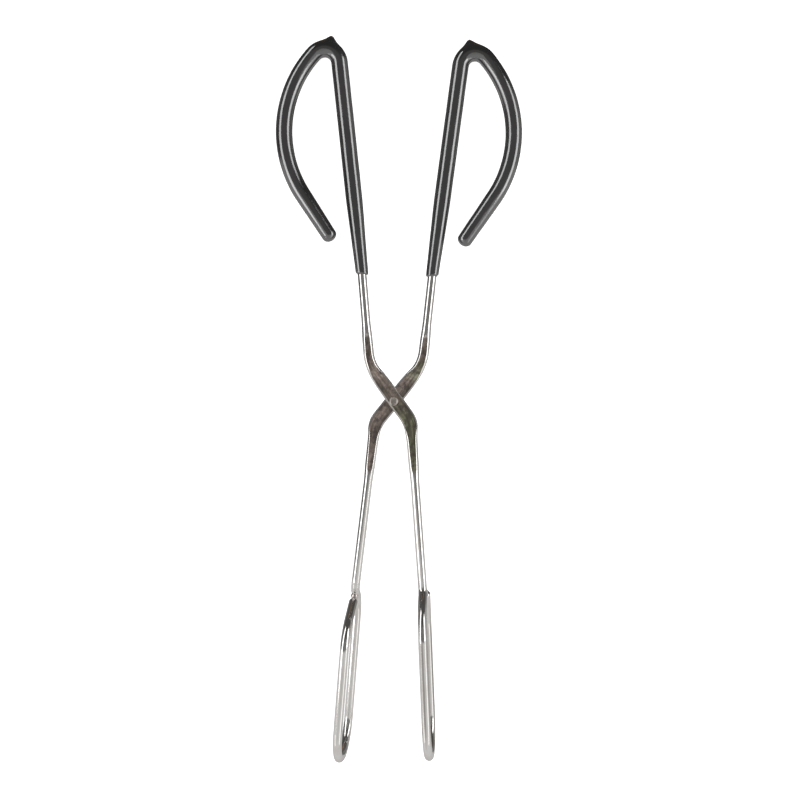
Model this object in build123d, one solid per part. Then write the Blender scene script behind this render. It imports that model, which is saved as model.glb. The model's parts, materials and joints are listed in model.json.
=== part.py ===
from build123d import *
import os
from dataclasses import dataclass
from math import cos, radians, sin

# Scissor-action wire tongs, lying on a table. Each arm is one bent wire: a finger hook at the top, a coined
# flat with the pivot's hole in the middle and a long closed loop at the bottom. The two arms are the same
# part, the rear one turned over, and each is a little out of true. Millimetres and degrees.
# An arm is drawn with its wire's centre in the XY plane, the pivot's axis on Z, the hook towards -X +Y and
# the loop towards +X -Y. Leans are measured from the Y axis.

# Wire
WIRE_RADIUS = 2.5
HOOK_RADIUS = 65.0
HOOK_TURN = 74.8
APEX_RADIUS = 8.3
APEX_TURN = 132.1
STEM_BEND_RADIUS = 320.0
SHOULDER_RADII = (25.0, 15.0)

# Coined flats at the crossing
FLAT_THICKNESS = 2.6
FLAT_HALF_WIDTH = 4.25
SHOULDER_HALF_WIDTHS = (3.2, 4.1)
FLAT_HALF_LENGTH = 14.0
COINED_HALF_LENGTH = 40.0
COINED_STEP = 1.5
SLOPE_START = 20.0
SLOPE_HALF_THICKNESSES = (1.95, 2.2)
PLATE_HALF_LENGTH = 24.0
PLATE_END_HALF_WIDTH = 2.2
PLATE_CORNER_RADIUS = 7.0
PLATE_END_MARGIN = 2.0
FLAT_GAP = 0.10
FLAT_EDGE_RADIUS = 1.0
LIFT = (FLAT_THICKNESS + FLAT_GAP) / 2

# Loops, measured along each loop's own centre line from loop_top
LOOP_HALF_WIDTH = 19.0
LOOP_END_RADIUS = 18.5
LOOP_LEAN = 3.4
FREE_LEG_START = 25.5
FREE_LEG_RADIUS = 20.0

# Dip-coated grips
GRIP_RADIUS = 4.65
GRIP_TAIL_RADIUS = 4.15
GRIP_FOOT_RADIUS = 3.5
GRIP_TAPER_LENGTH = 42.0
GRIP_END_THICKNESS = 2.4
GRIP_LENGTH_ON_STEM = 119.2
DRIP_RADIUS = 2.6
DRIP_REACH = 7.2
DRIP_PLACE = 0.53

# Rivet
RIVET_RADIUS = 1.7
RIVET_CLEARANCE = 0.05
HEAD_RADIUS = 2.5
HEAD_RIM = 0.45
HEAD_CROWN = 0.85
HEAD_DOME_RADIUS = 1.4
HEAD_DOME_HEIGHT = 0.8
CLINCH_RADIUS = 2.8
CLINCH_RIM = 0.7
CLINCH_CROWN = 1.1
CLINCH_CROWN_RADIUS = 2.0
CLINCH_DIMPLE_RADIUS = 1.0
CLINCH_DIMPLE_DEPTH = 0.6

# Weld beads between the loops' free ends and their shanks
BEAD_RADIUS = 2.8

# How the tongs lie: on a loop leg and both grips
REST_TILT = -3.087
REST_ROLL = -1.843


@dataclass
class Arm:
    """One wire's own bends, where the two arms differ."""

    shoulder_above: tuple
    shoulder_below: tuple
    shank_lean: float
    shank_length: float
    stem_lean: float
    stem_length: float
    hook_tail: float
    leg_lean: float
    loop_top: tuple
    loop_twist: float
    loop_reach: float
    swan: tuple
    swan_radii: tuple
    free_end: tuple
    weld: tuple
    hole_radius: float


FRONT = Arm(
    shoulder_above=(-13.9, 20.1),
    shoulder_below=(9.7, -11.4),
    shank_lean=5.8,
    shank_length=49.5,
    stem_lean=7.2,
    stem_length=112.5,
    hook_tail=30.4,
    leg_lean=5.2,
    loop_top=(18.4, -102.0),
    loop_twist=5.1,
    loop_reach=76.8,
    swan=(5.0, 14.0),
    swan_radii=(5.0, 26.0),
    free_end=(5.2, -3.4, 1.2),
    weld=(4.6, -1.2, 0.7),
    hole_radius=RIVET_RADIUS,
)
REAR = Arm(
    shoulder_above=(-15.8, 21.1),
    shoulder_below=(10.2, -12.7),
    shank_lean=5.1,
    shank_length=48.5,
    stem_lean=6.6,
    stem_length=111.8,
    hook_tail=31.5,
    leg_lean=5.8,
    loop_top=(20.0, -102.0),
    loop_twist=6.6,
    loop_reach=78.8,
    swan=(4.0, 11.6),
    swan_radii=(7.0, 16.0),
    free_end=(10.2, 2.8, 0.0),
    weld=(9.0, 3.6, 0.0),
    hole_radius=RIVET_RADIUS + RIVET_CLEARANCE,
)


def heading(lean):
    """The direction of a run that goes up the arm and leans towards -X."""
    return Vector(-sin(radians(lean)), cos(radians(lean)), 0)


def handle_edges(arm):
    """The hook, apex and stem, from the shank up, as tangent lines and arcs."""
    foot = Vector(*arm.shoulder_above) + heading(arm.shank_lean) * arm.shank_length
    bend = JernArc(foot, heading(arm.shank_lean), STEM_BEND_RADIUS, arm.stem_lean - arm.shank_lean)
    stem = Line(bend @ 1, (bend @ 1) + heading(arm.stem_lean) * arm.stem_length)
    apex = JernArc(stem @ 1, stem % 1, APEX_RADIUS, APEX_TURN)
    hook = JernArc(apex @ 1, apex % 1, HOOK_RADIUS, HOOK_TURN)
    tail = Line(hook @ 1, (hook @ 1) + (hook % 1) * arm.hook_tail)
    return foot, [bend, stem, apex, hook, tail]


def loop_point(arm, along, across, outward=0.0):
    """A point in the loop: along its centre line, across towards its shank leg, and out to its side."""
    lean, twist = radians(LOOP_LEAN), radians(arm.loop_twist)
    down = Vector(sin(lean), -cos(lean), 0)
    inward = Vector(-cos(lean), -sin(lean), 0)
    width = inward * sin(twist) + Vector(0, 0, 1) * cos(twist)
    centre = Vector(*arm.loop_top, -LIFT)
    return centre + down * along + width * across - inward * outward


def lower_path(arm, foot):
    """From the shank down over the flat and round the loop to its free end."""
    below = Vector(*arm.shoulder_below)
    leg_way = heading(arm.leg_lean) * -1
    leg_length = (below.Y - arm.loop_top[1] + arm.swan[0]) / -leg_way.Y
    end = arm.loop_reach + LOOP_HALF_WIDTH
    corners = [
        Vector(*arm.shoulder_above),
        below,
        below + leg_way * leg_length,
        loop_point(arm, arm.swan[1], LOOP_HALF_WIDTH),
        loop_point(arm, end, LOOP_HALF_WIDTH),
        loop_point(arm, end, -LOOP_HALF_WIDTH),
        loop_point(arm, FREE_LEG_START, -LOOP_HALF_WIDTH),
    ]
    radii = [*SHOULDER_RADII, *arm.swan_radii, LOOP_END_RADIUS, LOOP_END_RADIUS, FREE_LEG_RADIUS]
    return FilletPolyline(foot, *corners, loop_point(arm, *arm.free_end), radius=radii)


def tube(path, radius):
    """A round bar along a path."""
    section = Plane(origin=path @ 0, z_dir=path % 0) * Circle(radius)
    return sweep(section, path=path)


def coining_block():
    """The dies' space above a flat: level over the flat, steep, then gently sloping up to the round wire."""
    half_section = [
        (FLAT_HALF_LENGTH, FLAT_THICKNESS / 2),
        (SLOPE_START, SLOPE_HALF_THICKNESSES[0]),
        (COINED_HALF_LENGTH - COINED_STEP, SLOPE_HALF_THICKNESSES[1]),
        (COINED_HALF_LENGTH, WIRE_RADIUS),
        (COINED_HALF_LENGTH, 2 * WIRE_RADIUS),
    ]
    other_half = [(-along, height) for along, height in reversed(half_section)]
    profile = Polyline(*half_section, *other_half, close=True)
    return extrude(Plane.YZ * make_face(profile), COINED_HALF_LENGTH, both=True)


def flat_plate(arm):
    """The metal that coining spreads sideways, widest over the pivot and narrowing to the wire."""
    above, below = Vector(*arm.shoulder_above), Vector(*arm.shoulder_below)
    up, down = heading(arm.shank_lean), heading(arm.leg_lean) * -1
    reach_up = (PLATE_HALF_LENGTH - above.Y) / up.Y
    reach_down = (PLATE_HALF_LENGTH + below.Y) / -down.Y
    slant = (below - above).normalized()
    stations = [
        (above + up * reach_up, up * -1, PLATE_END_HALF_WIDTH),
        (above, (slant - up).normalized(), SHOULDER_HALF_WIDTHS[0]),
        ((above + below) * 0.5, slant, FLAT_HALF_WIDTH),
        (below, (slant + down).normalized(), SHOULDER_HALF_WIDTHS[1]),
        (below + down * reach_down, down, PLATE_END_HALF_WIDTH),
    ]
    left = [point + Vector(-run.Y, run.X, 0) * half for point, run, half in stations]
    right = [point - Vector(-run.Y, run.X, 0) * half for point, run, half in stations]
    outline = make_face(Polyline(*left, *reversed(right), close=True))
    near, far = FLAT_HALF_LENGTH / 2, PLATE_HALF_LENGTH - PLATE_END_MARGIN
    shoulders = [v for v in outline.vertices() if near < abs(v.Y) < far]
    outline = fillet(shoulders, PLATE_CORNER_RADIUS)
    plate = extrude(outline, FLAT_THICKNESS / 2, both=True)
    rims = plate.edges().filter_by(lambda e: abs(abs(e.center().Z) - FLAT_THICKNESS / 2) < 0.01)
    return fillet(rims, FLAT_EDGE_RADIUS)


def rod(arm):
    """The whole bent wire, ending short of the grip's closed end."""
    foot, upper = handle_edges(arm)
    tail = upper[-1].trim(0, 1 - GRIP_END_THICKNESS / arm.hook_tail)
    handle = Wire([*[edge.edge() for edge in upper[:-1]], tail.edge()])
    wire = tube(handle, WIRE_RADIUS) + tube(Wire(lower_path(arm, foot).edges()), WIRE_RADIUS)
    block = coining_block()
    wire = wire - block - mirror(block, Plane.XY) + flat_plate(arm)
    return wire - Cylinder(arm.hole_radius, 4 * WIRE_RADIUS)


def taper(start, direction, length, radius, end_radius):
    """A cone frustum from start along direction."""
    cone = Cone(radius, end_radius, length, align=(Align.CENTER, Align.CENTER, Align.MIN))
    return Plane(origin=start, z_dir=direction) * cone


def grip(arm, wire):
    """The dip coat: a sleeve round the hook and stem, thinner at its foot, closed at the hook's end."""
    stem, apex, hook, tail = handle_edges(arm)[1][1:]
    up = heading(arm.stem_lean)
    lip = (stem @ 1) - up * GRIP_LENGTH_ON_STEM
    shoulder = lip + up * GRIP_TAPER_LENGTH
    middle = Wire([Line(shoulder, stem @ 1).edge(), apex.edge(), hook.edge()])
    sleeve = tube(middle, GRIP_RADIUS)
    sleeve += taper(lip, up, GRIP_TAPER_LENGTH, GRIP_FOOT_RADIUS, GRIP_RADIUS)
    tail_length = arm.hook_tail - GRIP_TAIL_RADIUS
    sleeve += taper(tail @ 0, tail % 0, tail_length, GRIP_RADIUS, GRIP_TAIL_RADIUS)
    sleeve += Pos(*((tail @ 0) + (tail % 0) * tail_length)) * Sphere(GRIP_TAIL_RADIUS)
    crown = apex @ DRIP_PLACE
    outward = (crown - apex.arc_center).normalized()
    sleeve += Pos(*(crown + outward * (DRIP_REACH - DRIP_RADIUS))) * Sphere(DRIP_RADIUS)
    return sleeve - wire


def weld_bead(arm, wire):
    """The bead that ties the loop's free end to the shank."""
    return Pos(*loop_point(arm, *arm.weld)) * Sphere(BEAD_RADIUS) - wire


def rivet():
    """A shank through both flats, a low round head in front and a clinched end behind."""
    face = FLAT_GAP / 2 + FLAT_THICKNESS
    seat = -face - RIVET_CLEARANCE
    outline = Polyline(
        (0, face + HEAD_CROWN),
        (HEAD_DOME_RADIUS, face + HEAD_DOME_HEIGHT),
        (HEAD_RADIUS, face + HEAD_RIM),
        (HEAD_RADIUS, face),
        (RIVET_RADIUS, face),
        (RIVET_RADIUS, seat),
        (CLINCH_RADIUS, seat),
        (CLINCH_RADIUS, seat - CLINCH_RIM),
        (CLINCH_CROWN_RADIUS, seat - CLINCH_CROWN),
        (CLINCH_DIMPLE_RADIUS, seat - CLINCH_CROWN),
        (0, seat - CLINCH_CROWN + CLINCH_DIMPLE_DEPTH),
        close=True,
    )
    return revolve(Plane.XZ * make_face(outline), Axis.Z)


def arm_parts(arm, name):
    """One arm's nodes, in the arm's own frame."""
    wire = rod(arm)
    return {
        f"{name}_rod": wire,
        f"{name}_grip": grip(arm, wire),
        f"{name}_loop_weld": weld_bead(arm, wire),
    }


front_place = Pos(0, 0, LIFT)
rear_place = Rot(0, 180, 0) * Pos(0, 0, LIFT)
nodes = {name: front_place * shape for name, shape in arm_parts(FRONT, "front").items()}
nodes |= {name: rear_place * shape for name, shape in arm_parts(REAR, "rear").items()}
nodes["pivot_rivet"] = rivet()

# Laid down as it rests, then moved so that the origin is under the middle of the whole object.
lie = Rot(REST_TILT, 0, 0) * Rot(0, REST_ROLL, 0)
nodes = {name: lie * shape for name, shape in nodes.items()}
box = Compound(children=[Compound(shape.solids()) for shape in nodes.values()]).bounding_box()
ground = Pos(-box.center().X, -box.center().Y, -box.min.Z)

os.makedirs("parts", exist_ok=True)
for name, shape in nodes.items():
    export_step(ground * shape, f"parts/{name}.step")
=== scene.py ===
import json
from dataclasses import dataclass
from math import cos, radians, sin, tan

import bmesh
import bpy
import numpy as np
from mathutils import Matrix, Vector, noise


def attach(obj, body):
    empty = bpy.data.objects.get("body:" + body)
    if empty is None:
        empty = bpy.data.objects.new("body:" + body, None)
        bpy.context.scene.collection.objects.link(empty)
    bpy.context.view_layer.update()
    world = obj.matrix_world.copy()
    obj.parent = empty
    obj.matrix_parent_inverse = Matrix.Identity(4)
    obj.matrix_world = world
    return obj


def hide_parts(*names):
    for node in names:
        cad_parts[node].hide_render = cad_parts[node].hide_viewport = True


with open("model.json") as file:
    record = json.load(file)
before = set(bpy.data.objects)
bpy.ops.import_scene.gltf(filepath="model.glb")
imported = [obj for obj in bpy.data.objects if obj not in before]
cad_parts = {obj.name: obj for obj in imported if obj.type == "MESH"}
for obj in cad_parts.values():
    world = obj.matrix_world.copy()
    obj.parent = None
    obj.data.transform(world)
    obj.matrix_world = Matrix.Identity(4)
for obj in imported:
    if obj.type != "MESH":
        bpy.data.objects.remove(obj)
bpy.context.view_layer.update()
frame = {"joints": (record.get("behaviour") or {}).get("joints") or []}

# Wire tongs: two bent rods, two dip-coated grips, a rivet and two weld beads. Each arm's line repeats the
# CAD model's dimensions, in millimetres and degrees, in the arm's own frame: the wire's centre in the XY
# plane, the pivot's axis on Z, the hook towards -X +Y and the loop towards +X -Y. arm_to_world lays it down.

MM = 0.001

# Wire
WIRE_RADIUS = 2.5
HOOK_RADIUS = 65.0
HOOK_TURN = 74.8
APEX_RADIUS = 8.3
APEX_TURN = 132.1
STEM_BEND_RADIUS = 320.0
SHOULDER_RADII = (25.0, 15.0)
WIRE_END_ROUNDING = 1.6
# Steps along the line, between its samples and between the mesh's rings, and the rings in a rounded end
SAMPLE_STEP = 0.1
RING_STEP = 0.9
LEAST_STEP = 1e-6
END_RINGS = 10
# The share of its area that a section keeps at the very end
LEAST_AREA = 0.003

# Coined flats
FLAT_THICKNESS = 2.6
FLAT_GAP = 0.10
LIFT = (FLAT_THICKNESS + FLAT_GAP) / 2
# Half-widths and half-heights of the wire at distances along Y from the pivot, above it and below it
WIDTH_ABOVE = ((0, 4.25), (9, 4.2), (14, 3.9), (17.5, 3.35), (22, 3.05), (35, 2.9), (43, 2.5))
WIDTH_BELOW = ((0, 4.25), (12, 4.2), (16, 3.7), (20, 3.25), (24, 3.05), (36, 2.9), (45, 2.5))
HEIGHT_ABOVE = ((0, 1.3), (12, 1.35), (19, 2.0), (35.5, 2.25), (37.5, 2.5))
HEIGHT_BELOW = ((0, 1.3), (14, 1.35), (20, 1.9), (38, 2.2), (40.5, 2.5))
# How far from the pivot those four tables hold, along X and Y, and how many rings smooth the width
COINED_REACH = (20.0, 48.0)
WIDTH_SMOOTHING = 9
# The pressed section: its edges' softness, its steep sides, and its points on each side or flat
FLAT_EDGE_SOFTNESS = 0.45
FACET_EDGE_SOFTNESS = 0.12
FLAT_SIDE_STEEPNESS = 0.3
FLAT_SIDE_POWER = 6
LARGEST_SIDE_ANGLE = 72.0
SIDE_POINTS = 17
LEAST_PRESSED = 0.01
# How soon a facet counts fully as coined, and how far its points may lie below its level
COINED_ONSET = 4.0
COINED_TOLERANCE = 0.06

# Loops
LOOP_HALF_WIDTH = 19.0
LOOP_END_RADIUS = 18.5
LOOP_LEAN = 3.4
FREE_LEG_START = 25.5
FREE_LEG_RADIUS = 20.0
# Painted dark lines that stand for reflected dark bands on the loop: how strong they are at distances below
# the pivot, then each line's place across the wire and half its width
PAINTED_LINE_STRETCH = ((115, 0), (135, 1), (175, 1), (190, 0))
PAINTED_LINE_PLACES = ((0.55, 0.45), (-2.2, 0.35))

# Grips
GRIP_RADIUS = 4.65
GRIP_TAIL_RADIUS = 4.15
GRIP_FOOT_RADIUS = 3.5
GRIP_TAPER_LENGTH = 42.0
GRIP_LENGTH_ON_STEM = 119.2
GRIP_BORE = 2.52
GRIP_END_THICKNESS = 2.4
GRIP_CAP_LENGTH = 3.4
LIP_RADIUS = 0.8
LIP_SLANT = 0.2
LIP_SLANT_REACH = 4.0
GRIP_SEGMENTS = 56
DRIP_PLACE = 0.53
DRIP_HEIGHT = 2.7
DRIP_SPREAD = 2.6
DRIP_DEPTH_SPREAD = 4.2426
DRIP_LEAST_FACING = 0.1
APEX_SWELL = 0.7
APEX_SWELL_SPREAD = 8.0

# Layers of unevenness: height, size and a shift of the seed. The coat has less of it where its radius is
# smaller than RIPPLED_RADIUS.
COAT_RIPPLES = ((0.05, 11.0, 0), (0.03, 4.0, 5))
APEX_RIPPLES = ((0.30, 5.0, 9),)
RIPPLED_RADIUS = 3.0
BEAD_RIPPLES = ((0.05, 0.7, 0), (0.02, 0.25, 3))
# The first arm's seeds, which the second arm doubles
COAT_SEED = 7.0
BEAD_SEED = 3.0

# Rivet: (radius, height) corners of its head above the flats and of its clinched end behind them
RIVET_RADIUS = 1.7
RIVET_HEAD = ((0, 0.70), (1.7, 0.66), (2.1, 0.86), (2.5, 0.45), (2.5, 0))
RIVET_CLINCH = ((2.8, 0), (2.75, -0.75), (2.0, -1.15), (1.1, -0.95), (0.8, -0.5), (0, -0.45))
RIVET_CORNER_RADII = (0.3, 0.15, 0.2, 0.08, 0, 0, 0.15, 0.35, 0.35, 0.2, 0.25)
RIVET_CORNER_STEPS = 7
RIVET_SEGMENTS = 64
RIVET_PLAY = 0.05

# Hole and weld
CUTTER_LENGTH = 20.0
CUTTER_SEGMENTS = 64
SHARP_ANGLE = 42.0
BEAD_RADIUS = 2.1
BEAD_SUBDIVISIONS = 5


@dataclass
class Arm:
    """One wire's own bends and tints, where the two arms differ, and the CAD body that it belongs to.

    Places are (x, y), or (along, across, outward) in the loop, in millimetres. Leans are in degrees from +Y
    towards -X. swan is how far below the loop's top the shank's line ends, and how far along the loop its
    straight leg starts. The green-grey table is the share of painted green-grey reflection on the coined flat
    at heights above the pivot, and the line share is how strongly painted dark reflection lines show on the
    loop.
    """

    name: str
    body: str
    turned_over: bool
    shoulder_above: tuple
    shoulder_below: tuple
    shank_lean: float
    shank_length: float
    stem_lean: float
    stem_length: float
    hook_tail: float
    leg_lean: float
    loop_top: tuple
    loop_twist: float
    loop_reach: float
    swan: tuple
    swan_radii: tuple
    free_end: tuple
    weld: tuple
    olive_reflection: tuple
    painted_lines: float


FRONT = Arm(
    name="front",
    body="front_arm",
    turned_over=False,
    shoulder_above=(-13.9, 20.1),
    shoulder_below=(9.7, -11.4),
    shank_lean=5.8,
    shank_length=49.5,
    stem_lean=7.2,
    stem_length=112.5,
    hook_tail=30.4,
    leg_lean=5.2,
    loop_top=(18.4, -102.0),
    loop_twist=5.1,
    loop_reach=76.8,
    swan=(5.0, 14.0),
    swan_radii=(5.0, 26.0),
    free_end=(5.2, -3.4, 1.2),
    weld=(4.6, -1.2, 0.5),
    # Painted reflections: a green-grey reflection on the flat and dark reflection lines on the loop
    olive_reflection=((-60, 0.9), (-9, 1), (3, 0.15), (60, 0.1)),
    painted_lines=0.7,
)
REAR = Arm(
    name="rear",
    body="rear_arm",
    turned_over=True,
    shoulder_above=(-15.8, 21.1),
    shoulder_below=(10.2, -12.7),
    shank_lean=5.1,
    shank_length=48.5,
    stem_lean=6.6,
    stem_length=111.8,
    hook_tail=31.5,
    leg_lean=5.8,
    loop_top=(20.0, -102.0),
    loop_twist=6.6,
    loop_reach=78.8,
    swan=(4.0, 11.6),
    swan_radii=(7.0, 16.0),
    free_end=(10.2, 2.8, 0.0),
    weld=(8.2, 4.6, 0.0),
    # Painted reflection: a green-grey band on the flat, and no dark reflection lines
    olive_reflection=((-60, 0), (11, 0.05), (14, 0.7), (21, 0.75), (25, 0), (60, 0)),
    painted_lines=0.0,
)


# ---------------------------------------------------------------- the arms' place in the shared frame

hinge = frame["joints"][0]
PIVOT = np.array(hinge["pos_m"])
NORMAL = -np.array(hinge["axis"]) / np.linalg.norm(hinge["axis"])
ARM_Y = np.array((0.0, NORMAL[2], -NORMAL[1])) / np.hypot(NORMAL[2], NORMAL[1])
ARM_X = np.cross(ARM_Y, NORMAL)


def arm_to_world(points, arm):
    """Points in an arm's own frame, in millimetres, to the shared frame, in metres."""
    x, y, z = (np.asarray(points, float) + (0, 0, LIFT)).T
    if arm.turned_over:
        x, z = -x, -z
    return PIVOT + MM * (np.outer(x, ARM_X) + np.outer(y, ARM_Y) + np.outer(z, NORMAL))


# ---------------------------------------------------------------- centre lines


def unit(vector):
    return vector / np.linalg.norm(vector)


def heading(lean):
    """The direction of a run that goes up the arm and leans towards -X."""
    return np.array((-sin(radians(lean)), cos(radians(lean)), 0.0))


def straight(start, direction, length):
    """Samples along a straight run, without its end."""
    steps = np.arange(0, length, SAMPLE_STEP)
    return start + np.outer(steps, direction)


def turn(start, direction, radius, degrees):
    """Samples along an arc that turns left in the XY plane, without its end; also its end and heading."""
    left = np.array((-direction[1], direction[0], 0.0))
    centre = start + left * radius
    angles = np.arange(0, radians(degrees), SAMPLE_STEP / radius)

    def at(angle):
        angle = np.atleast_1d(angle)
        return centre - np.outer(np.cos(angle), left) * radius + np.outer(np.sin(angle), direction) * radius

    end_angle = radians(degrees)
    return at(angles), at(end_angle)[0], direction * cos(end_angle) + left * sin(end_angle)


def rounded(corners, radii):
    """Samples along straight runs through the corners, each corner rounded to its radius."""
    samples, start = [], corners[0]
    for before, corner, after, radius in zip(corners, corners[1:], corners[2:], radii):
        inward, outward = unit(corner - before), unit(after - corner)
        angle = np.arccos(np.clip(inward @ outward, -1, 1))
        cut = radius * tan(angle / 2)
        samples.append(straight(start, inward, np.linalg.norm(corner - inward * cut - start)))
        side = unit(outward - inward * (inward @ outward))
        centre = corner - inward * cut + side * radius
        sweep = np.arange(0, angle, SAMPLE_STEP / radius)
        samples.append(centre + radius * (np.outer(np.sin(sweep), inward) - np.outer(np.cos(sweep), side)))
        start = corner + outward * cut
    run = corners[-1] - start
    samples.append(straight(start, unit(run), np.linalg.norm(run)))
    samples.append(corners[-1][None])
    return np.concatenate(samples)


def loop_point(arm, along, across, outward=0.0):
    """A point in the loop: along its centre line, across towards its shank leg, and out to its side."""
    lean, twist = radians(LOOP_LEAN), radians(arm.loop_twist)
    down = np.array((sin(lean), -cos(lean), 0.0))
    inward = np.array((-cos(lean), -sin(lean), 0.0))
    width = inward * sin(twist) + np.array((0.0, 0.0, cos(twist)))
    centre = np.array((*arm.loop_top, -LIFT))
    return centre + down * along + width * across - inward * outward


def handle_line(arm):
    """Centre line from the shank's top over the stem, apex and hook to the hook's end."""
    foot = np.array((*arm.shoulder_above, 0.0)) + heading(arm.shank_lean) * arm.shank_length
    bend, start, way = turn(foot, heading(arm.shank_lean), STEM_BEND_RADIUS, arm.stem_lean - arm.shank_lean)
    stem = straight(start, way, arm.stem_length)
    apex, hook_start, hook_way = turn(start + way * arm.stem_length, way, APEX_RADIUS, APEX_TURN)
    hook, tail_start, tail_way = turn(hook_start, hook_way, HOOK_RADIUS, HOOK_TURN)
    tail = straight(tail_start, tail_way, arm.hook_tail + SAMPLE_STEP)
    return {"foot": foot, "bend": bend, "stem": stem, "apex": apex, "hook": hook, "tail": tail}


def lower_line(arm, foot):
    """Centre line from the shank's top down over the flat and round the loop to its free end."""
    above, below = np.array((*arm.shoulder_above, 0.0)), np.array((*arm.shoulder_below, 0.0))
    end = arm.loop_reach + LOOP_HALF_WIDTH
    leg_way = -heading(arm.leg_lean)
    leg_length = (below[1] - arm.loop_top[1] + arm.swan[0]) / -leg_way[1]
    corners = [
        foot,
        above,
        below,
        below + leg_way * leg_length,
        loop_point(arm, arm.swan[1], LOOP_HALF_WIDTH),
        loop_point(arm, end, LOOP_HALF_WIDTH),
        loop_point(arm, end, -LOOP_HALF_WIDTH),
        loop_point(arm, FREE_LEG_START, -LOOP_HALF_WIDTH),
        loop_point(arm, *arm.free_end),
    ]
    loop_radii = (*arm.swan_radii, LOOP_END_RADIUS, LOOP_END_RADIUS, FREE_LEG_RADIUS)
    return rounded(corners, (*SHOULDER_RADII, *loop_radii))


def stations(points, start_rounding, end_rounding):
    """The same line with points about RING_STEP apart, closer at its rounded ends, and distances along it."""
    lengths = np.concatenate(([0], np.cumsum(np.linalg.norm(np.diff(points, axis=0), axis=1))))
    total = lengths[-1]
    count = int(round(total / RING_STEP))
    quarter = np.sin(np.linspace(0, np.pi / 2, END_RINGS))
    along = np.concatenate((
        start_rounding * (1 - quarter[:0:-1]),
        np.linspace(start_rounding, total - end_rounding, count),
        total - end_rounding * (1 - quarter[1:]),
    ))
    along = along[np.concatenate(([True], np.diff(along) > LEAST_STEP))]
    return np.stack([np.interp(along, lengths, points[:, axis]) for axis in range(3)], axis=1), along


def rounding(distance, depth):
    """How much of its size a section keeps at a distance from a rounded end."""
    short = np.clip(1 - distance / depth, 0, 1)
    return np.sqrt(np.maximum(1 - short**2, LEAST_AREA))


def section_frames(points, up):
    """For each point, the directions of its section's width and height, carried along without twisting."""
    tangents = np.gradient(points, axis=0)
    tangents /= np.linalg.norm(tangents, axis=1)[:, None]
    widths, heights = np.empty_like(points), np.empty_like(points)
    height = np.array(up, float)
    for index, tangent in enumerate(tangents):
        height = unit(height - tangent * (height @ tangent))
        heights[index] = height
        widths[index] = np.cross(tangent, height)
    return widths, heights


# ---------------------------------------------------------------- meshes


def soft_min(first, second, softness):
    """The lower of two values, rounded off where they cross."""
    blend = np.clip(0.5 + 0.5 * (second - first) / softness, 0, 1)
    return second * (1 - blend) + first * blend - softness * blend * (1 - blend)


def mesh_object(name, vertices, faces):
    """A smooth-shaded mesh object whose outside faces out."""
    mesh = bpy.data.meshes.new(name)
    mesh.from_pydata([tuple(v) for v in vertices], [], faces)
    mesh.validate()
    work = bmesh.new()
    work.from_mesh(mesh)
    bmesh.ops.recalc_face_normals(work, faces=work.faces)
    work.to_mesh(mesh)
    work.free()
    mesh.shade_smooth()
    piece = bpy.data.objects.new(name, mesh)
    bpy.context.scene.collection.objects.link(piece)
    return piece


def ring_quads(rings, around, first=0):
    """Quads between rings of points that follow each other from a first vertex."""
    faces = []
    for here in range(first, first + (rings - 1) * around, around):
        for index in range(around):
            beside = (index + 1) % around
            faces.append((here + index, here + beside, here + around + beside, here + around + index))
    return faces


def tube_faces(rings, around):
    """Quads between rings of points, and a cap at each end."""
    last = (rings - 1) * around
    return ring_quads(rings, around) + [tuple(range(around)), tuple(range(last, last + around))]


def ring_ways(angles, width, height):
    """Directions outwards round a section."""
    return np.outer(np.cos(angles), width) + np.outer(np.sin(angles), height)


def point_attribute(piece, name, values):
    """A value at each vertex that a material can read."""
    attribute = piece.data.attributes.new(name, "FLOAT", "POINT")
    attribute.data.foreach_set("value", np.asarray(values, np.float32))


def pressed_share(half_height):
    """How far the wire is pressed: 0 where it is round, 1 at the flat."""
    return (WIRE_RADIUS - half_height) / (WIRE_RADIUS - FLAT_THICKNESS / 2)


def coined_section(half_width, half_height):
    """The wire's section: a round bar, or one pressed wider and cut level at the top and bottom."""
    pressed = pressed_share(half_height)
    split = min(np.arcsin(min(half_height / WIRE_RADIUS, 1)), radians(LARGEST_SIDE_ANGLE))
    steepness = 1 - FLAT_SIDE_STEEPNESS * pressed**FLAT_SIDE_POWER
    side = np.sin(np.linspace(-1, 1, SIDE_POINTS) * np.pi / 2) * split
    side_x = half_width * np.cos(side * steepness)
    side_z = WIRE_RADIUS * np.sin(side)
    flat_x = np.cos(np.linspace(0, np.pi, SIDE_POINTS)[1:-1]) * half_width * cos(split * steepness)
    flat_z = np.maximum(WIRE_RADIUS * np.sqrt(1 - (flat_x / half_width) ** 2), side_z[-1])
    x = np.concatenate((side_x, flat_x, -side_x[::-1], flat_x[::-1]))
    z = np.concatenate((side_z, flat_z, side_z[::-1], -flat_z))
    softness = FACET_EDGE_SOFTNESS + (FLAT_EDGE_SOFTNESS - FACET_EDGE_SOFTNESS) * pressed**2
    if pressed > LEAST_PRESSED:
        z = np.sign(z) * soft_min(np.abs(z), np.full_like(z, half_height), softness)
    return x, z


def coined_sizes(points):
    """Half the wire's width and half its height at each point of its line."""
    reach_x, reach_y = COINED_REACH
    distance, upper = np.abs(points[:, 1]), points[:, 1] > 0
    central = (distance < reach_y) & (np.abs(points[:, 0]) < reach_x)

    def profile(above, below):
        values = np.where(upper, np.interp(distance, *zip(*above)), np.interp(distance, *zip(*below)))
        return np.where(central, values, WIRE_RADIUS)

    window = np.hanning(WIDTH_SMOOTHING)
    padded = np.pad(profile(WIDTH_ABOVE, WIDTH_BELOW), WIDTH_SMOOTHING // 2, "edge")
    return np.convolve(padded, window / window.sum(), "valid"), profile(HEIGHT_ABOVE, HEIGHT_BELOW)


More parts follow.
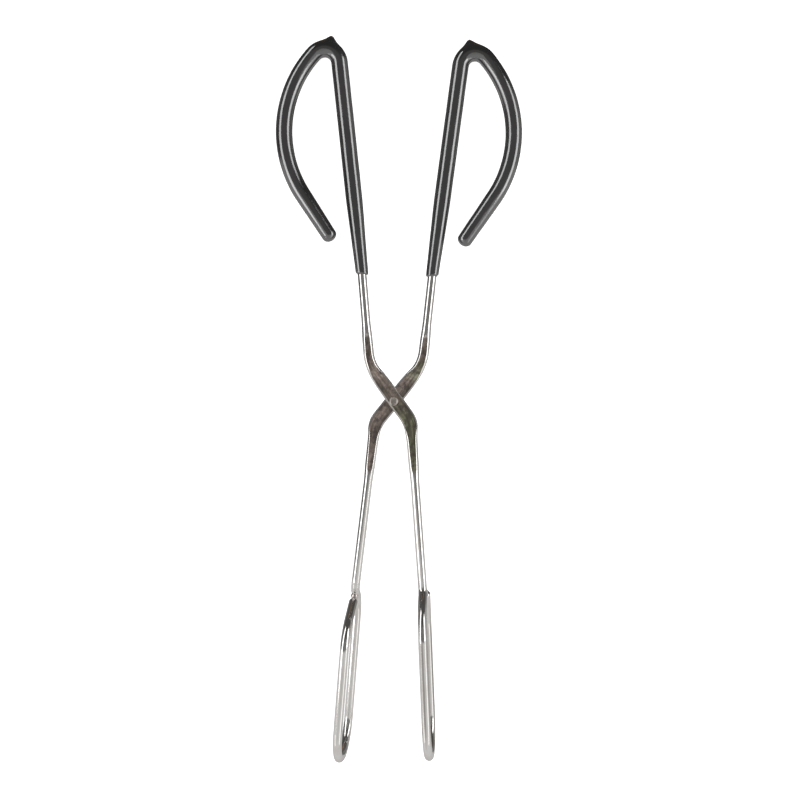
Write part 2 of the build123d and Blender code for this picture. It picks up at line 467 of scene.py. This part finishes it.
def rod(arm, line):
    """The bent wire, swept along its line, with the coined flat's changing section over the pivot."""
    points, along = stations(line, 0.0, WIRE_END_ROUNDING)
    widths, heights = section_frames(points, (0, 0, 1))
    half_widths, half_heights = coined_sizes(points)
    sizes = rounding(along[-1] - along, WIRE_END_ROUNDING)
    depth = np.minimum(1, COINED_ONSET * pressed_share(half_heights))
    rings, coined, across = [], [], []
    for index, point in enumerate(points):
        x, z = coined_section(half_widths[index], half_heights[index])
        ring = np.outer(x, widths[index]) + np.outer(z, heights[index])
        rings.append(point + ring * sizes[index])
        coined.append(depth[index] * (np.abs(z) > half_heights[index] - COINED_TOLERANCE))
        across.append(x)
    around = len(rings[0])
    vertices = arm_to_world(np.concatenate(rings), arm)
    piece = mesh_object(f"{arm.name}_wire", vertices, tube_faces(len(rings), around))
    # Shares of painted green-grey reflection on the flat and of painted dark reflection lines on the loop
    olive_reflection = np.interp(points[:, 1], *zip(*arm.olive_reflection))
    painted_lines = arm.painted_lines * np.interp(-points[:, 1], *zip(*PAINTED_LINE_STRETCH))
    point_attribute(piece, "coined", np.concatenate(coined))
    point_attribute(piece, "across", np.concatenate(across))
    for name, values in (("along", along), ("olive_reflection", olive_reflection), ("painted_lines", painted_lines)):
        point_attribute(piece, name, np.repeat(values, around))
    return piece


def wander(point, size, seed):
    """Smooth noise, about -1 to 1, that changes over a given size."""
    return noise.noise(Vector(point) / size + Vector((seed, 2.3 * seed, -seed)))


def ripple(point, layers, seed):
    """The unevenness at a point: noise summed over layers of height, size and seed shift."""
    return sum(height * wander(point, size, seed + shift) for height, size, shift in layers)


def grip_radius(arm, along):
    """The coat's radius: tapered at its foot and along the hook's end, and rounded at both ends."""
    from_end = along[-1] - along
    radius = np.interp(along, (0, GRIP_TAPER_LENGTH), (GRIP_FOOT_RADIUS, GRIP_RADIUS))
    radius -= np.interp(from_end, (0, arm.hook_tail), (GRIP_RADIUS - GRIP_TAIL_RADIUS, 0))
    radius -= LIP_RADIUS * (1 - rounding(along, LIP_RADIUS))
    return radius * rounding(from_end, GRIP_CAP_LENGTH)


def drip_place(arm, apex):
    """Where the drip stands on the coat's apex, and the direction that it points in."""
    towards_centre = np.array((-cos(radians(arm.stem_lean)), -sin(radians(arm.stem_lean)), 0))
    centre = apex[0] + towards_centre * APEX_RADIUS
    crown_way = unit(apex[int(DRIP_PLACE * len(apex))] - centre)
    return centre + crown_way * (APEX_RADIUS + GRIP_RADIUS), crown_way


def coat_ring(ring, way, radius, seed, drip, crown_way):
    """A plain ring of the coat made uneven, with the apex's swelling and the drip's peak."""
    near = np.exp(-((np.linalg.norm(ring - drip, axis=1) / APEX_SWELL_SPREAD) ** 2))
    share = min(1, radius / RIPPLED_RADIUS)
    uneven = []
    for spot, nearness in zip(ring, near):
        bumps = nearness * ripple(spot, APEX_RIPPLES, seed)
        uneven.append(share * (ripple(spot, COAT_RIPPLES, seed) + bumps))
    ring = ring + way * np.array(uneven)[:, None]
    gap = ring - drip
    height = gap @ crown_way
    sideways = np.linalg.norm(gap - np.outer(height, crown_way), axis=1)
    facing = np.clip(way @ crown_way, 0, 1)
    peak = DRIP_HEIGHT * np.exp(-((sideways / DRIP_SPREAD) ** 2) - (height / DRIP_DEPTH_SPREAD) ** 2)
    peak *= (facing > DRIP_LEAST_FACING) * np.sqrt(facing)
    return ring + np.outer(peak + APEX_SWELL * near * facing, crown_way)


def grip(arm, handle, seed):
    """The dip coat: a closed shell with a slanted lip, a swollen apex with its drip, and a closed end."""
    stem = np.concatenate((handle["bend"], handle["stem"]))[-int(GRIP_LENGTH_ON_STEM / SAMPLE_STEP):]
    line = np.concatenate((stem, handle["apex"], handle["hook"], handle["tail"]))
    points, along = stations(line, LIP_RADIUS, GRIP_CAP_LENGTH)
    widths, heights = section_frames(points, (0, 0, 1))
    radii = grip_radius(arm, along)
    drip, crown_way = drip_place(arm, handle["apex"])
    angles = np.linspace(0, 2 * np.pi, GRIP_SEGMENTS, endpoint=False)
    outer, inner = [], []
    for point, place, radius, width, height in zip(points, along, radii, widths, heights):
        way = ring_ways(angles, width, height)
        slant = -LIP_SLANT * np.cos(angles) * radius * np.exp(-place / LIP_SLANT_REACH)
        ring = point + way * radius + np.outer(slant, heading(arm.stem_lean))
        outer.append(coat_ring(ring, way, radius, seed, drip, crown_way))
        if place <= along[-1] - GRIP_END_THICKNESS:
            inner.append(point + way * GRIP_BORE)
    rings = outer[::-1] + inner
    vertices = arm_to_world(np.concatenate(rings), arm)
    return mesh_object(f"{arm.name}_dip_coat", vertices, tube_faces(len(rings), GRIP_SEGMENTS))


def turned(profile):
    """Vertices and faces of a solid turned about Z from (radius, height) points that start and end on Z."""
    angles = np.linspace(0, 2 * np.pi, RIVET_SEGMENTS, endpoint=False)
    vertices = [(0.0, 0.0, profile[0][1])]
    for radius, height in profile[1:-1]:
        vertices += [(radius * cos(a), radius * sin(a), height) for a in angles]
    vertices.append((0.0, 0.0, profile[-1][1]))
    rings, last = len(profile) - 2, len(vertices) - 1
    faces = ring_quads(rings, RIVET_SEGMENTS, first=1)
    for index in range(RIVET_SEGMENTS):
        beside = (index + 1) % RIVET_SEGMENTS
        faces.append((0, 1 + index, 1 + beside))
        start = last - RIVET_SEGMENTS
        faces.append((last, start + beside, start + index))
    return vertices, faces


def rounded_profile(corners, radii):
    """A (radius, height) profile with its inner corners rounded."""
    corners = [np.array((*corner, 0.0)) for corner in corners]
    profile = [corners[0]]
    for before, corner, after, radius in zip(corners, corners[1:], corners[2:], radii):
        if radius == 0:
            profile.append(corner)
            continue
        inward, outward = unit(corner - before), unit(after - corner)
        angle = np.arccos(np.clip(inward @ outward, -1, 1))
        side = unit(outward - inward * (inward @ outward))
        centre = corner - inward * radius * tan(angle / 2) + side * radius
        for sweep in np.linspace(0, angle, RIVET_CORNER_STEPS):
            profile.append(centre + radius * (sin(sweep) * inward - cos(sweep) * side))
    profile.append(corners[-1])
    return [(max(point[0], 0), point[1]) for point in profile]


def rivet():
    """The rivet: a low head with a raised rim in front, a shank, and a clinched end behind."""
    face = FLAT_GAP / 2 + FLAT_THICKNESS
    seat = -face - RIVET_PLAY
    head = [(radius, face + height) for radius, height in RIVET_HEAD]
    clinch = [(radius, seat + height) for radius, height in RIVET_CLINCH]
    corners = head + [(RIVET_RADIUS, face), (RIVET_RADIUS, seat)] + clinch
    vertices, faces = turned(rounded_profile(corners, RIVET_CORNER_RADII))
    return mesh_object("pivot_rivet_turned", arm_to_world(np.array(vertices) - (0, 0, LIFT), FRONT), faces)


def weld(arm, seed):
    """The weld bead: an uneven blob between the loop's free end and its shank."""
    work = bmesh.new()
    bmesh.ops.create_icosphere(work, subdivisions=BEAD_SUBDIVISIONS, radius=1.0)
    spots = [np.array(vertex.co[:]) for vertex in work.verts]
    faces = [tuple(vertex.index for vertex in face.verts) for face in work.faces]
    work.free()
    bead = np.array([spot * BEAD_RADIUS * (1 + ripple(spot, BEAD_RIPPLES, seed)) for spot in spots])
    return mesh_object(f"{arm.name}_weld_bead", arm_to_world(bead + loop_point(arm, *arm.weld), arm), faces)


# ---------------------------------------------------------------- materials


class Nodes:
    """A node tree with short calls for making and joining nodes. A colour is a tuple or a node's output."""

    def __init__(self, tree):
        self.tree = tree

    def node(self, kind, **settings):
        made = self.tree.nodes.new(kind)
        for key, value in settings.items():
            if key in made.inputs:
                made.inputs[key].default_value = value
            else:
                setattr(made, key, value)
        return made

    def join(self, source, target):
        self.tree.links.new(source, target)

    def noise(self, vector, scale, detail=3.0, roughness=0.5):
        made = self.node("ShaderNodeTexNoise", Scale=scale, Detail=detail, Roughness=roughness)
        self.join(vector, made.inputs["Vector"])
        return made.outputs["Fac"]

    def spread(self, value, low, high, from_low=0.3, from_high=0.7):
        limits = {"From Min": from_low, "From Max": from_high, "To Min": low, "To Max": high}
        made = self.node("ShaderNodeMapRange", **limits)
        self.join(value, made.inputs["Value"])
        return made.outputs["Result"]

    def mix(self, share, first, second):
        made = self.node("ShaderNodeMix", data_type="RGBA")
        self.join(share, made.inputs["Factor"])
        for socket, colour in ((made.inputs[6], first), (made.inputs[7], second)):
            if isinstance(colour, tuple):
                socket.default_value = (*colour, 1)
            else:
                self.join(colour, socket)
        return made.outputs[2]

    def bump(self, height, strength, distance, after=None):
        made = self.node("ShaderNodeBump", Strength=strength, Distance=distance)
        self.join(height, made.inputs["Height"])
        if after is not None:
            self.join(after, made.inputs["Normal"])
        return made.outputs["Normal"]

    def stretched(self, x, y, z):
        """Object coordinates in millimetres, squeezed along each axis."""
        place = self.node("ShaderNodeTexCoord").outputs["Object"]
        made = self.node("ShaderNodeMapping")
        made.inputs["Scale"].default_value = (x / MM, y / MM, z / MM)
        self.join(place, made.inputs["Vector"])
        return made.outputs["Vector"]

    def attribute(self, name):
        return self.node("ShaderNodeAttribute", attribute_name=name).outputs["Fac"]

    def calculate(self, operation, first, second, third=0.0):
        """A math node on node outputs and numbers."""
        made = self.node("ShaderNodeMath", operation=operation)
        for socket, value in zip(made.inputs, (first, second, third)):
            if isinstance(value, float):
                socket.default_value = value
            else:
                self.join(value, socket)
        return made.outputs[0]


class Material(Nodes):
    """A new material's nodes, with its shader."""

    def __init__(self, name):
        self.material = bpy.data.materials.new(name)
        self.material.use_nodes = True
        super().__init__(self.material.node_tree)
        self.shader = self.tree.nodes["Principled BSDF"]


def wire_strands(made, across):
    """Coordinates that run along the wire, so that noise on them makes long lines."""
    place = made.node("ShaderNodeCombineXYZ")
    made.join(across, place.inputs["X"])
    made.join(made.attribute("along"), place.inputs["Y"])
    stretch = made.node("ShaderNodeMapping", Scale=(1.0, 0.07, 1.0))
    made.join(place.outputs["Vector"], stretch.inputs["Vector"])
    return stretch.outputs["Vector"]


def plate_colour(made, across, even):
    """Bright plate with faint warm tarnish and, on the loops, painted dark lines that stand for reflected
    dark bands.
    """
    bright, warm, painted_line_grey = (0.80, 0.79, 0.775), (0.68, 0.65, 0.61), (0.26, 0.245, 0.23)
    tarnish = made.spread(made.noise(even, 0.07, 4), 0.0, 0.7, 0.42, 0.72)
    plate = made.mix(tarnish, bright, warm)
    # Painted dark lines along the loop, standing for reflected dark bands
    on_lines = [made.calculate("COMPARE", across, place, reach) for place, reach in PAINTED_LINE_PLACES]
    on_line = made.calculate("MAXIMUM", *on_lines)
    return made.mix(made.calculate("MULTIPLY", on_line, made.attribute("painted_lines")), plate, painted_line_grey)


def flat_painted_reflections(made, across, streaks, speckle):
    """The pressed flats: painted reflections in pinkish or green-grey streaks, a painted darker reflection to
    one side, painted dark reflection patches, and brown specks.
    """
    pink_reflection, umber_reflection, shade = (0.86, 0.71, 0.65), (0.48, 0.40, 0.36), (0.16, 0.14, 0.13)
    light_olive_reflection, dark_olive_reflection = (0.56, 0.57, 0.40), (0.25, 0.26, 0.17)
    cloud_reflection_brown, speck_brown = (0.18, 0.16, 0.145), (0.30, 0.27, 0.25)
    # Painted reflections of the room: pinkish streaks with a darker side, green-grey streaks and dark patches
    rosy_reflection = made.mix(made.spread(streaks, 0.0, 1.0, 0.40, 0.62), pink_reflection, umber_reflection)
    rosy_reflection = made.mix(made.spread(across, 0.0, 0.85, 0.0, 3.2), rosy_reflection, shade)
    olive_reflection = made.mix(made.spread(streaks, 0.0, 1.0, 0.42, 0.60), light_olive_reflection, dark_olive_reflection)
    pressed = made.mix(made.attribute("olive_reflection"), rosy_reflection, olive_reflection)
    reflection_clouds = made.noise(made.stretched(0.32, 0.20, 1), 1.0, 3, 0.55)
    pressed = made.mix(made.spread(reflection_clouds, 0.0, 0.7, 0.48, 0.62), pressed, cloud_reflection_brown)
    return made.mix(made.spread(speckle, 0.0, 0.4, 0.5, 0.75), pressed, speck_brown)


def plated_wire():
    """Bright nickel-chrome plate: drawing lines along the wire, faint tarnish, painted dark reflection lines
    on the loops, and dull flats with painted streaked reflections.
    """
    made = Material("plated_wire")
    even, across, coined = made.stretched(1, 1, 1), made.attribute("across"), made.attribute("coined")
    strands = wire_strands(made, across)
    lines, streaks = made.noise(strands, 2.6, 3, 0.6), made.noise(strands, 0.75, 4, 0.6)
    speckle = made.noise(even, 1.1, 5, 0.7)
    plate, flat = plate_colour(made, across, even), flat_painted_reflections(made, across, streaks, speckle)
    made.join(made.mix(coined, plate, flat), made.shader.inputs["Base Color"])
    made.shader.inputs["Metallic"].default_value = 1.0
    made.shader.inputs["Specular Tint"].default_value = (0.8, 0.8, 0.8, 1)
    shine = made.node("ShaderNodeMix", data_type="FLOAT")
    made.join(coined, shine.inputs["Factor"])
    made.join(made.spread(lines, 0.09, 0.15), shine.inputs[2])
    made.join(made.spread(speckle, 0.12, 0.26), shine.inputs[3])
    made.join(shine.outputs[0], made.shader.inputs["Roughness"])
    wavy = made.bump(made.noise(even, 0.16, 2), 0.4, 0.0008)
    made.join(made.spread(coined, 0.0, 0.4, 0.0, 1.0), wavy.node.inputs["Strength"])
    made.join(made.bump(lines, 0.02, 0.00004, wavy), made.shader.inputs["Normal"])
    return made.material


def dipped_vinyl():
    """Glossy black PVC dip coat: faint orange peel, dust-fine pits and slow changes of shine."""
    made = Material("dipped_vinyl")
    even = made.stretched(1, 1, 1)
    cloud, peel, pits = made.noise(even, 0.09, 3), made.noise(even, 0.55, 3), made.noise(even, 3.2, 4, 0.7)
    black, soft_black, dust = (0.004, 0.004, 0.0045), (0.009, 0.009, 0.010), (0.06, 0.06, 0.062)
    base = made.mix(made.spread(cloud, 0.0, 1.0), black, soft_black)
    dusty = made.mix(made.spread(pits, 0.0, 0.35, 0.6, 0.8), base, dust)
    made.join(dusty, made.shader.inputs["Base Color"])
    made.join(made.spread(cloud, 0.10, 0.19), made.shader.inputs["Roughness"])
    made.shader.inputs["IOR"].default_value = 1.9
    made.shader.inputs["Specular IOR Level"].default_value = 1.0
    peeled = made.bump(peel, 0.14, 0.0002)
    made.join(made.bump(pits, 0.10, 0.00006, peeled), made.shader.inputs["Normal"])
    return made.material


def rivet_steel():
    """The rivet's bright steel, a little warmer and more handled than the wire."""
    made = Material("rivet_steel")
    even = made.stretched(1, 1, 1)
    grain, marks = made.noise(even, 0.8, 4), made.noise(even, 2.6, 4, 0.7)
    base = made.mix(made.spread(grain, 0.0, 1.0), (0.62, 0.57, 0.53), (0.40, 0.35, 0.32))
    made.join(base, made.shader.inputs["Base Color"])
    made.shader.inputs["Metallic"].default_value = 1.0
    made.join(made.spread(marks, 0.24, 0.42), made.shader.inputs["Roughness"])
    made.join(made.bump(marks, 0.25, 0.0001), made.shader.inputs["Normal"])
    return made.material


def weld_metal():
    """Plated weld: duller than the wire, with a slightly warm tint."""
    made = Material("weld_metal")
    even = made.stretched(1, 1, 1)
    tint, grain = made.noise(even, 0.35, 3), made.noise(even, 1.2, 3, 0.5)
    base = made.mix(made.spread(tint, 0.0, 1.0), (0.68, 0.65, 0.63), (0.58, 0.52, 0.47))
    made.join(base, made.shader.inputs["Base Color"])
    made.shader.inputs["Metallic"].default_value = 1.0
    made.join(made.spread(grain, 0.24, 0.38), made.shader.inputs["Roughness"])
    made.join(made.bump(grain, 0.15, 0.0001), made.shader.inputs["Normal"])
    return made.material


def pale_floor():
    """Matt near-white paper that glows a little, so that it stays pale behind the tongs."""
    made = Material("pale_floor")
    grain = made.noise(made.stretched(1, 1, 1), 0.02, 3)
    made.join(made.mix(grain, (0.84, 0.84, 0.84), (0.88, 0.88, 0.88)), made.shader.inputs["Base Color"])
    made.shader.inputs["Roughness"].default_value = 0.8
    made.shader.inputs["Emission Color"].default_value = (1, 1, 1, 1)
    made.shader.inputs["Emission Strength"].default_value = 0.9
    return made.material


# ---------------------------------------------------------------- the object


def drill(piece, radius):
    """Cuts the rivet's hole through a flat."""
    bpy.ops.mesh.primitive_cylinder_add(
        vertices=CUTTER_SEGMENTS, radius=radius * MM, depth=CUTTER_LENGTH * MM
    )
    cutter = bpy.context.object
    turn_to_axis = Matrix((ARM_X, ARM_Y, NORMAL)).transposed().to_4x4()
    cutter.matrix_world = Matrix.Translation(Vector(PIVOT)) @ turn_to_axis
    bpy.context.view_layer.update()
    cut = piece.modifiers.new("hole", "BOOLEAN")
    cut.operation = "DIFFERENCE"
    cut.solver = "EXACT"
    cut.object = cutter
    depsgraph = bpy.context.evaluated_depsgraph_get()
    drilled = bpy.data.meshes.new_from_object(piece.evaluated_get(depsgraph))
    piece.modifiers.clear()
    piece.data = drilled
    bpy.data.objects.remove(cutter)
    with bpy.context.temp_override(object=piece, active_object=piece, selected_editable_objects=[piece]):
        bpy.ops.object.shade_smooth_by_angle(angle=radians(SHARP_ANGLE))


def dress(piece, body, node, material):
    """Gives a piece its body and its material, and hides the CAD node that it stands for."""
    piece.data.materials.clear()
    piece.data.materials.append(material)
    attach(piece, body)
    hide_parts(node)


wire_material, vinyl_material = plated_wire(), dipped_vinyl()
rivet_material, weld_material = rivet_steel(), weld_metal()

for number, arm in enumerate((FRONT, REAR), start=1):
    handle = handle_line(arm)
    handle_points = np.concatenate([handle[key] for key in ("bend", "stem", "apex", "hook", "tail")])
    inside_coat = int(round(GRIP_END_THICKNESS / SAMPLE_STEP))
    lower_points = lower_line(arm, handle["foot"])
    wire = rod(arm, np.concatenate((handle_points[:-inside_coat][::-1], lower_points[1:])))
    drill(wire, RIVET_RADIUS + (RIVET_PLAY if arm is REAR else 0.0))
    dress(wire, arm.body, f"{arm.name}_rod", wire_material)
    coat = grip(arm, handle, number * COAT_SEED)
    dress(coat, arm.body, f"{arm.name}_grip", vinyl_material)
    bead = weld(arm, number * BEAD_SEED)
    dress(bead, arm.body, f"{arm.name}_loop_weld", weld_material)

dress(rivet(), "front_arm", "pivot_rivet", rivet_material)


# ---------------------------------------------------------------- floor, light and camera

FLOOR_SIZE = 6.0
# The camera: distance and width of view in metres, aim from the pivot in millimetres, roll in degrees, and
# the sensor's width in millimetres
CAMERA_DISTANCE = 0.70
VIEW_WIDTH = 0.448
VIEW_CENTRE = (3.53, 0.62)
VIEW_ROLL = 1.1
SENSOR_WIDTH = 36.0

# The room's greys, which the wires reflect
OVERHEAD, GREY, SOFT = (0.21, 0.20, 0.19), (0.20, 0.198, 0.196), (0.45, 0.44, 0.435)
DIM, PALE, CLOUD = (0.08, 0.078, 0.075), (0.68, 0.67, 0.665), (0.56, 0.55, 0.54)
PAPER, BROWN = (0.88, 0.88, 0.88), (0.22, 0.15, 0.11)
NONE, ALL = (0.0, 0.0, 0.0), (1.0, 1.0, 1.0)
# Colours from left, -1, to right, 1: round the shanks, round the loops, and for what the hook end reflects
ROOM_GREYS = (
    (-1, DIM), (-0.9, GREY), (-0.2, GREY), (0, OVERHEAD), (0.3, GREY), (0.75, GREY), (0.9, SOFT), (1, SOFT),
)
LOOP_GREYS = ((-1, PALE), (-0.35, PALE), (-0.05, CLOUD), (0.1, CLOUD), (0.4, PALE), (1, PALE))
HOOK_BROWNS = ((-1, DIM), (-0.40, DIM), (-0.15, BROWN), (0.15, BROWN), (0.40, DIM), (1, DIM))
# Where one part of the room passes into the next, as heights of the direction on Y or Z
LOOPS_FROM_LEVEL = (-0.185, -0.145)
PAST_LOOPS = (-0.62, -0.40)
HOOKS = (0.42, 0.62)
BELOW = (-0.35, -0.15)


def add_floor():
    """The pale paper under the tongs."""
    bpy.ops.mesh.primitive_plane_add(size=FLOOR_SIZE)
    floor = bpy.context.object
    floor.name = "floor"
    floor.data.materials.append(pale_floor())
    floor.visible_glossy = False
    return floor


floor = add_floor()


def strip_light(name, lean, width, length, shift, radiance):
    """A long soft light 1 m from the middle, leaning from straight up towards +X and moved along Y."""
    light = bpy.data.lights.new(name, "AREA")
    light.shape = "RECTANGLE"
    light.size, light.size_y = width, length
    light.energy = radiance * np.pi * width * length
    lamp = bpy.data.objects.new(name, light)
    bpy.context.scene.collection.objects.link(lamp)
    lamp.location = (sin(radians(lean)), shift, cos(radians(lean)))
    lamp.rotation_euler = (0, radians(lean), 0)


strip_light("left_strip", lean=-58, width=0.44, length=1.85, shift=0.62, radiance=2.5)
strip_light("right_strip", lean=57, width=0.44, length=1.00, shift=0.35, radiance=2.5)
strip_light("left_fill", lean=-60, width=0.30, length=0.7, shift=-0.80, radiance=0.75)
strip_light("right_fill", lean=58, width=0.30, length=0.9, shift=-0.62, radiance=0.8)


class Surround(Nodes):
    """The world's nodes, with colours that depend on the direction looked in."""

    def __init__(self, world):
        world.use_nodes = True
        super().__init__(world.node_tree)
        self.direction = self.node("ShaderNodeSeparateXYZ")
        self.join(self.node("ShaderNodeTexCoord").outputs["Generated"], self.direction.inputs[0])

    def ramp(self, axis, stops):
        """A colour from stops of the direction's height on an axis, -1 to 1."""
        ramp = self.node("ShaderNodeValToRGB")
        self.join(self.spread(self.direction.outputs[axis], 0.0, 1.0, -1.0, 1.0), ramp.inputs["Fac"])
        elements = ramp.color_ramp.elements
        while len(elements) < len(stops):
            elements.new(0.5)
        for element, (place, colour) in zip(elements, stops):
            element.position = (place + 1) / 2
            element.color = (*colour, 1)
        return ramp.outputs["Color"]

    def step(self, axis, low, high, upwards=True):
        """A share that passes between none and all from a low to a high height on an axis."""
        return self.ramp(axis, ((low, NONE), (high, ALL)) if upwards else ((low, ALL), (high, NONE)))


def add_surround():
    """The studio round the tongs: greys that the wires reflect, and pale paper where the camera sees it."""
    world = bpy.data.worlds.new("studio")
    bpy.context.scene.world = world
    made = Surround(world)
    level = 2 * NORMAL[1]
    loops_low, loops_high = LOOPS_FROM_LEVEL
    toward_loops = made.step("Y", level + loops_low, level + loops_high, upwards=False)
    room = made.mix(toward_loops, made.ramp("X", ROOM_GREYS), made.ramp("X", LOOP_GREYS))
    room = made.mix(made.step("Y", *PAST_LOOPS, upwards=False), room, PALE)
    hook_end = made.mix(made.step("Z", *BELOW, upwards=False), DIM, made.ramp("X", HOOK_BROWNS))
    room = made.mix(made.step("Y", *HOOKS), room, hook_end)
    seen = made.node("ShaderNodeLightPath").outputs["Is Camera Ray"]
    made.join(made.mix(seen, room, PAPER), made.tree.nodes["Background"].inputs["Color"])


def add_camera():
    """The photo's camera: square on to the arms' plane and turned a little."""
    roll = radians(VIEW_ROLL)
    right = Vector(ARM_X * cos(roll) + ARM_Y * sin(roll))
    up = Vector(ARM_Y * cos(roll) - ARM_X * sin(roll))
    toward_camera = Vector(NORMAL)
    lens = bpy.data.cameras.new("camera")
    lens.sensor_width = SENSOR_WIDTH
    lens.lens = SENSOR_WIDTH * CAMERA_DISTANCE / VIEW_WIDTH
    camera = bpy.data.objects.new("camera", lens)
    bpy.context.scene.collection.objects.link(camera)
    aim = Vector(PIVOT) + right * VIEW_CENTRE[0] * MM + up * VIEW_CENTRE[1] * MM
    camera.matrix_world = Matrix((right, up, toward_camera)).transposed().to_4x4()
    camera.location = aim + toward_camera * CAMERA_DISTANCE
    bpy.context.scene.camera = camera


add_surround()
add_camera()
bpy.context.scene.view_settings.view_transform = "Standard"
